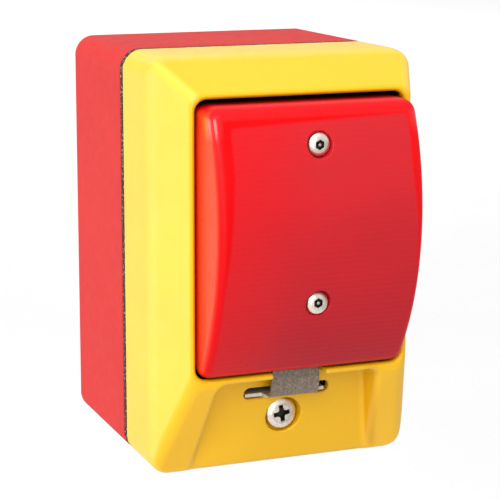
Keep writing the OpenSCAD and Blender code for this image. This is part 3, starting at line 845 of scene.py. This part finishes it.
def plate_field(x, h, d):
    """The hollow plate, open at the back, with two bosses and a foot wall that ends 2 mm short."""
    solid = both(plate_block(x, h, d), PLATE_LOW[2] - d, 0.5)
    shell = cut(solid, plate_block(x, h, d, PLATE_T, 1.6), 0.4)
    foot_end = both(h - (PLATE_LOW[1] + PLATE_T + 1), d - (PLATE_LOW[2] + 2))
    shell = cut(shell, foot_end, 0.4)
    for stem in STEM_H:
        boss = both(disc(x, h - stem, STEM_BOSS_R), HEAD_SEAT - STEM_BOSS_LEN - d, 0.3)
        shell = either(shell, both(boss, plate_block(x, h, d) + 0.5), 0.6)
    for stem in STEM_H:
        sunk = both(disc(x, h - stem, HEAD_R + 0.5), HEAD_SEAT - d)
        shell = cut(shell, sunk, 0.3)
        shell = cut(shell, disc(x, h - stem, STEM_BORE), 0.1)
    return shell


def make_plate():
    xs = mirrored(lines((0, 0.4), (6.5, 1.5), (25, 0.45), 31.4))
    hs = lines((PLATE_LOW[1] - 0.6, 0.45), (-20, 1.0), (-12, 0.4), (0, 1.1), (31, 0.4),
               PLATE_HIGH[1] + 0.6)
    ds = lines((PLATE_LOW[2] - 0.6, 0.6), (88, 0.4), CREST_D + 0.6)
    moulded("push_plate_shell", plate_field, (xs, hs, ds), CLEAR_RED,
            "plate", ["push_plate"])


make_plate()


# ---- hold-in tab ----------------------------------------------------------------------------

TAB_T = 1.2
TONGUE_W = TAB_HIGH[0] - 5.1   # half the width of the narrow part
STOP_RISE = 5.8
FLANGE_FRONT = COVER_D + 26.4
BEND_D = COVER_D + 28.0
STRAP_LOW = TAB_LOW[1] + 1.9


def rounded_path(points, radii, steps=6):
    """The points of a bent centre line, each inner corner turned into a short curve."""
    points = [np.array(p, float) for p in points]
    path = [points[0]]
    for before, corner, after, r in zip(points, points[1:], points[2:], radii):
        start = corner + (before - corner) / np.linalg.norm(before - corner) * r
        end = corner + (after - corner) / np.linalg.norm(after - corner) * r
        for i in range(steps + 1):
            t = i / steps
            path.append((1 - t) ** 2 * start + 2 * t * (1 - t) * corner + t * t * end)
    path.append(points[-1])
    return path


def along(u, v, path):
    """Distance from (u, v) to a path of points."""
    best = np.inf
    for a, b in zip(path, path[1:]):
        run = b - a
        t = ((u - a[0]) * run[0] + (v - a[1]) * run[1]) / (run @ run)
        t = np.clip(t, 0, 1)
        best = np.minimum(best, np.hypot(u - a[0] - t * run[0], v - a[1] - t * run[1]))
    return best


def tab_field(x, h, d):
    """The bent tongue, the wide flange that it grows from, and the stop at the back."""
    side, low, front, back = TAB_HIGH[0], TAB_LOW[1], TAB_HIGH[2], TAB_LOW[2]
    half = TAB_T / 2
    centre = rounded_path(
        [(low + half, back - 1), (low + half, BEND_D), (STRAP_LOW + half, front - half),
         (TAB_HIGH[1] + 1, front - half)], (1.5, 1.6))
    sheet = both(along(h, d, centre) - half, both(back - d, h - TAB_HIGH[1]), 0.15)
    strap = both(sheet, rectangle(x, h, TONGUE_W, low - 20, TAB_HIGH[1], 1.2), 0.15)
    flange = bar(x, h, d, (-side, low, back), (side, low + TAB_T, FLANGE_FRONT), 0.12)
    stop = bar(x, h, d, (-side, low, back), (side, low + STOP_RISE, back + TAB_T), 0.12)
    return either(either(strap, flange), stop, 0.3)


def make_tab():
    xs = mirrored(lines((0, 0.8), (6.4, 0.22), (8.2, 0.8), (11, 0.3), 13))
    hs = lines((TAB_LOW[1] - 0.3, 0.22), (TAB_LOW[1] + 3, 0.4), (TAB_HIGH[1] - 1.6, 0.25),
               TAB_HIGH[1] + 0.3)
    ds = lines((TAB_LOW[2] - 0.3, 0.3), (TAB_LOW[2] + 2, 0.8), (TAB_HIGH[2] - 3.4, 0.22),
               TAB_HIGH[2] + 0.3)
    moulded("hold_tab_sheet", tab_field, (xs, hs, ds), TAB_STEEL,
            "hold_tab", ["hold_tab"])


make_tab()


# ---- screws ---------------------------------------------------------------------------------

CROSS_HEAD_R, CROSS_DOME_R, CROSS_SHANK_R, CROSS_CORE_R = 4.8, 11.0, 2.5, 2.1
CROSS_TURN, CROSS_REACH, CROSS_WIDE, CROSS_DEPTH = 9, 2.75, 0.72, 2.4
HEX_DOME_R, HEX_SHANK_R, HEX_PIN_R = 5.2, 1.45, 0.42
HEX_HALF, HEX_DEPTH = 1.25, 1.7


def turned(u, v, degrees):
    """(u, v) in axes that are turned by so many degrees."""
    a = math.radians(degrees)
    return u * math.cos(a) + v * math.sin(a), v * math.cos(a) - u * math.sin(a)


def domed(x, h, d, top, r):
    """A ball of radius r whose front is at top."""
    return np.sqrt(x * x + h * h + (d - (top - r)) ** 2) - r


def cross_screw_field(x, h, d):
    """The cover screw: a domed head with a tapering cross recess, a shank and a thread's core."""
    h = h - SCREW_H
    top = SCREW_HIGH[2]
    head = both(disc(x, h, CROSS_HEAD_R), slab(d, SCREW_SEAT, top), 0.3)
    head = both(head, domed(x, h, d, top, CROSS_DOME_R), 0.5)
    shank = both(disc(x, h, CROSS_SHANK_R), slab(d, COVER_D + 0.2, SCREW_SEAT + 0.5))
    core = both(disc(x, h, CROSS_CORE_R), slab(d, SCREW_LOW[2], COVER_D + 0.7), 0.4)
    u, v = turned(x, h, CROSS_TURN)
    wide = CROSS_WIDE - (top - d) * 0.10
    reach = CROSS_REACH - (top - d) * 0.45
    arm = both(np.abs(u) - reach, np.abs(v) - wide)
    arms = np.minimum(arm, both(np.abs(v) - reach, np.abs(u) - wide))
    arms = either(arms, disc(x, h, 1.2), 0.3)
    head = cut(head, both(arms, top - CROSS_DEPTH - d), 0.12)
    return either(either(head, shank, 0.3), core)


def make_cover_screw():
    xs = lines((-5.2, 0.18), 5.2)
    ds = lines((SCREW_LOW[2] - 0.4, 0.5), (SCREW_SEAT - 0.6, 0.16), SCREW_HIGH[2] + 0.3)
    moulded("cover_screw_body", cross_screw_field, (xs, xs + SCREW_H, ds), CROSS_NICKEL,
            "cover", ["cover_screw"])


make_cover_screw()


def pin_hex_field(x, h, d, centre):
    """A plate screw: a domed head with a hexagon socket and a pin in it."""
    h = h - centre
    top = HEADS_HIGH[2]
    head = both(disc(x, h, HEAD_R), slab(d, HEAD_SEAT, top - 0.25), 0.25)
    head = both(head, domed(x, h, d, top, HEX_DOME_R), 0.3)
    hexagon = np.abs(x)
    for turn in (60, 120):
        hexagon = np.maximum(hexagon, np.abs(turned(x, h, turn)[0]))
    head = cut(head, both(hexagon - HEX_HALF, top - HEX_DEPTH - d), 0.12)
    pin = both(disc(x, h, HEX_PIN_R), slab(d, HEAD_SEAT, top - 0.45), 0.15)
    shank = both(disc(x, h, HEX_SHANK_R), slab(d, HEADS_LOW[2], HEAD_SEAT + 0.3), 0.2)
    return either(either(head, pin), shank)


def make_plate_screws():
    """Both plate screws as one mesh, because they share a node."""
    verts, faces, normals = [], [], []
    count = 0
    xs = lines((-3.5, 0.13), 3.5)
    ds = lines((HEADS_LOW[2] - 0.3, 0.4), (HEAD_SEAT - 0.3, 0.12), HEADS_HIGH[2] + 0.2)
    for centre in STEM_H:
        def field(x, h, d):
            return pin_hex_field(x, h, d, centre)
        points, quads = surface(field, xs, xs + centre, ds)
        verts.append(points)
        normals.append(outward(field, points, 0.04))
        faces.append(quads + count)
        count += len(points)
    obj = mesh_object("plate_screw_pair", np.concatenate(verts), np.concatenate(faces),
                      HEX_NICKEL, np.concatenate(normals))
    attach(obj, "plate")
    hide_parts("plate_screws")


make_plate_screws()


# ---- coil springs ---------------------------------------------------------------------------

def coil(centres, r, wire, start, end, turns):
    """Coil springs along d with a closed turn at each end, as verts and faces."""
    sides, per_turn = 10, 28
    closed_pitch = wire * 1.9
    rings = (turns + 2) * per_turn
    verts, faces = [], []
    for cx, ch in centres:
        base = len(verts)
        for i in range(rings + 1):
            turn = i / per_turn
            lift = min(max((turn - 1) / turns, 0), 1)
            closed = closed_pitch * (min(turn, 1) + max(turn - 1 - turns, 0))
            d = start + wire + closed + lift * (end - start - 2 * wire - 2 * closed_pitch)
            a = 2 * math.pi * turn
            for k in range(sides):
                b = 2 * math.pi * k / sides
                q = r + wire * math.cos(b)
                verts.append((cx + q * math.cos(a), ch + q * math.sin(a),
                              d + wire * math.sin(b)))
        for i in range(rings):
            for k in range(sides):
                a, b = base + i * sides + k, base + i * sides + (k + 1) % sides
                faces.append((a, a + sides, b + sides, b))
        faces.append([base + k for k in range(sides)])
        faces.append([base + rings * sides + k for k in reversed(range(sides))])
    return verts, faces


def make_spring(node, centres, wire, turns):
    """The coils that stand for a spring node, on a mesh of their own."""
    low, high = box_mm(node)
    r = (high[0] - low[0]) / 2 - wire if len(centres) == 1 else high[0] - wire
    verts, faces = coil(centres, r, wire, low[2], high[2], turns)
    obj = mesh_object(node + "_coil", verts, faces, WIRE)
    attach(obj, "cover")
    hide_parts(node)
    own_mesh(obj)


def make_springs():
    """The plate's two return springs and the spring of each contact block."""
    make_spring("return_springs", [(0, stem) for stem in STEM_H], wire=0.5, turns=5)
    for node in ("spring_nc", "spring_no"):
        low, high = box_mm(node)
        centre = ((low[0] + high[0]) / 2, (low[1] + high[1]) / 2)
        make_spring(node, [centre], wire=0.25, turns=8)


make_springs()


# ---- the CAD pieces that stay ---------------------------------------------------------------

FINISH = {
    "screw_insert": BRASS, "chassis": BLACK, "guide_bushes": IVORY, "chassis_screws": ZINC,
    "screw_retainer": ZINC, "tab_keeper": TAB_STEEL, "keeper_screws": ZINC,
    "contact_block_nc": BLOCK_RED, "contact_block_no": BLOCK_GREEN, "block_screws": ZINC,
    "fixed_contacts_nc": COPPER, "fixed_contacts_no": COPPER, "terminals_nc": BRASS,
    "terminals_no": BRASS, "terminal_screws": ZINC, "plate_carrier": WHITE,
    "guide_stems": ZINC, "stem_clips": WIRE, "plunger_nc": WHITE, "bridge_nc": COPPER,
    "plunger_no": WHITE, "bridge_no": COPPER,
}


SOFT_EDGE, SOFT_ANGLE = 0.15 * MM, math.radians(40)


def finish_cad_node(name, finish):
    """Give a CAD node its material and soft edges."""
    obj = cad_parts[name]
    obj.data.materials.clear()
    obj.data.materials.append(finish.material)
    edges = obj.modifiers.new("soft_edges", "BEVEL")
    edges.width = SOFT_EDGE
    edges.segments = 2
    edges.limit_method = "ANGLE"
    edges.angle_limit = SOFT_ANGLE


for node_name, node_finish in FINISH.items():
    finish_cad_node(node_name, node_finish)


# ---- camera, light and floor ----------------------------------------------------------------

VIEW_TURN = math.radians(-21.05)
VIEW_LIFT = math.radians(11.47)
VIEW_AIM, VIEW_DISTANCE = (0, -0.032, 0), 0.551
VIEW_LENS, VIEW_SHIFT = 128, (0.0394, -0.0294)
FLOOR_DROP, FLOOR_HALF = 0.5, 20
NEAR_FLOOR, FAR_FLOOR = 0.56, (0.92, 0.94)
WORLD_STRENGTH = 0.75
AIM = (0, -0.05, 0)

# name: place, aim, size and power
LIGHTS = {
    "key": ((-0.70, -0.85, 0.65), AIM, (0.7, 0.7), 10),
    "top": ((-0.1, -0.35, 0.95), AIM, (0.9, 0.6), 3.5),
    "fill": ((-0.30, -1.05, 0.05), AIM, (0.6, 0.6), 2.4),
    "left": ((-1.0, 0.42, -0.05), AIM, (0.9, 0.9), 7),
    "backdrop": ((0, 7, 4), (0, 7, 0), (9, 9), 230),
}


def make_camera():
    """A long lens at the photo's angle: 21 degrees from the left and 11.5 from above."""
    back = Vector((
        math.sin(VIEW_TURN) * math.cos(VIEW_LIFT),
        -math.cos(VIEW_TURN) * math.cos(VIEW_LIFT),
        math.sin(VIEW_LIFT),
    ))
    data = bpy.data.cameras.new("camera")
    data.sensor_width = 36
    data.lens = VIEW_LENS
    data.shift_x, data.shift_y = VIEW_SHIFT
    data.clip_start = 0.02
    obj = bpy.data.objects.new("camera", data)
    obj.location = Vector(VIEW_AIM) + back * VIEW_DISTANCE
    obj.rotation_mode = "QUATERNION"
    obj.rotation_quaternion = (-back).to_track_quat("-Z", "Y")
    bpy.context.scene.collection.objects.link(obj)
    bpy.context.scene.camera = obj


def make_light(name, spot, aim, size, power):
    """A soft rectangle of light."""
    data = bpy.data.lights.new(name, "AREA")
    data.shape = "RECTANGLE"
    data.size, data.size_y = size
    data.energy = power
    obj = bpy.data.objects.new(name, data)
    obj.location = spot
    obj.rotation_mode = "QUATERNION"
    obj.rotation_quaternion = (Vector(aim) - Vector(spot)).to_track_quat("-Z", "Y")
    bpy.context.scene.collection.objects.link(obj)


def make_floor():
    """A pale floor, lighter behind the part than in front of it."""
    half = FLOOR_HALF
    verts = [(-half, -half, 0), (half, -half, 0), (half, half, 0), (-half, half, 0)]
    mesh = bpy.data.meshes.new("floor")
    mesh.from_pydata(verts, [], [(0, 1, 2, 3)])
    s = Shader("pale_floor", Specular_IOR_Level=0.1)
    shade = s.spread(s.position()[1], 0.0, 1.0, -0.3, 0.5)
    far = s.ramp(s.noise(3, 2), (0.3, grey(FAR_FLOOR[0])), (0.7, grey(FAR_FLOOR[1])))
    s.colour(s.mix(shade, grey(NEAR_FLOOR), far))
    s.roughness(s.spread(s.noise(9, 2), 0.8, 0.95))
    mesh.materials.append(s.material)
    obj = bpy.data.objects.new("floor", mesh)
    obj.location = (0, 0, cad_low.z - FLOOR_DROP)
    bpy.context.scene.collection.objects.link(obj)


def make_world():
    """Even white light from all round."""
    world = bpy.data.worlds.new("studio")
    world.use_nodes = True
    sky = world.node_tree.nodes["Background"]
    sky.inputs["Color"].default_value = (1, 1, 1, 1)
    sky.inputs["Strength"].default_value = WORLD_STRENGTH
    bpy.context.scene.world = world


make_camera()
make_world()
make_floor()
for light_name, light in LIGHTS.items():
    make_light(light_name, *light)
bpy.context.scene.view_settings.view_transform = "Standard"
